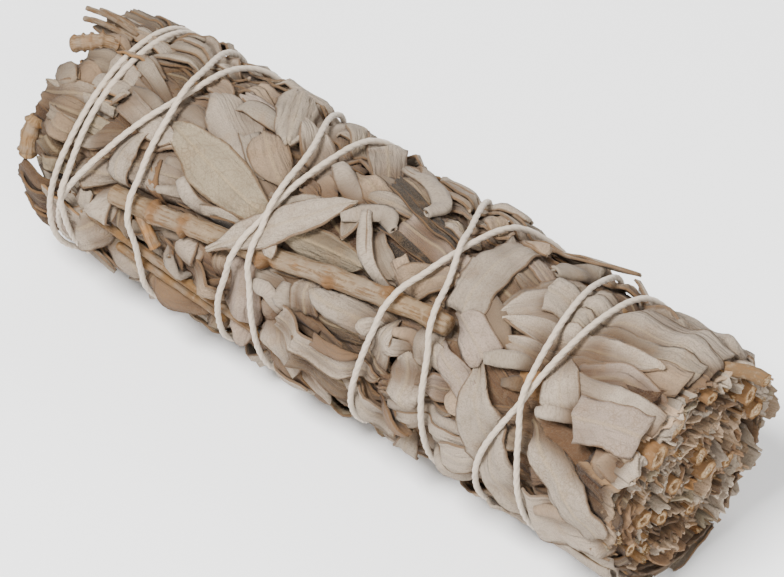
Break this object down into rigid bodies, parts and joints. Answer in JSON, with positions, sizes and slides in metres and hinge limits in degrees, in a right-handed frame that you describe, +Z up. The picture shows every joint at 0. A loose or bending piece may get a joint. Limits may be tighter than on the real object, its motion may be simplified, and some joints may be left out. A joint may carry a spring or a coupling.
{
  "type": "dried sage bunch",
  "caption": "Dried sage bunch: leafy stems laid side by side, bound with crossing turns of cotton string, cut square at one end.",
  "frame": {"origin": "on the resting plane, under the middle of the bunch", "axes": "+X along the bunch towards its cut end, +Z up"},
  "size_m": [0.1108, 0.0349, 0.0358],
  "materials": {
    "dried_leaf": "matte, finely veined and slightly downy",
    "cotton_string": "matte, three twisted plies",
    "cut_stem": "matte bark with a pale cut face",
    "twig_bark": "matte ridged bark with leaf scars",
    "brown_twig": "matte brown bark"
  },
  "bodies": {
    "root": {"leaf_bunch": "dried_leaf", "binding_string": "cotton_string", "stem_01": "cut_stem", "stem_02": "cut_stem", "stem_03": "cut_stem", "stem_04": "cut_stem", "stem_05": "cut_stem", "stem_06": "cut_stem", "stem_07": "cut_stem", "stem_08": "cut_stem", "stem_09": "cut_stem", "stem_10": "cut_stem", "stem_11": "cut_stem", "stem_12": "cut_stem", "stem_13": "cut_stem", "stem_14": "cut_stem", "cut_stick": "cut_stem", "side_twig": "twig_bark", "low_twig_1": "brown_twig", "low_twig_2": "brown_twig", "tip_twig": "twig_bark"}
  },
  "joints": []
}
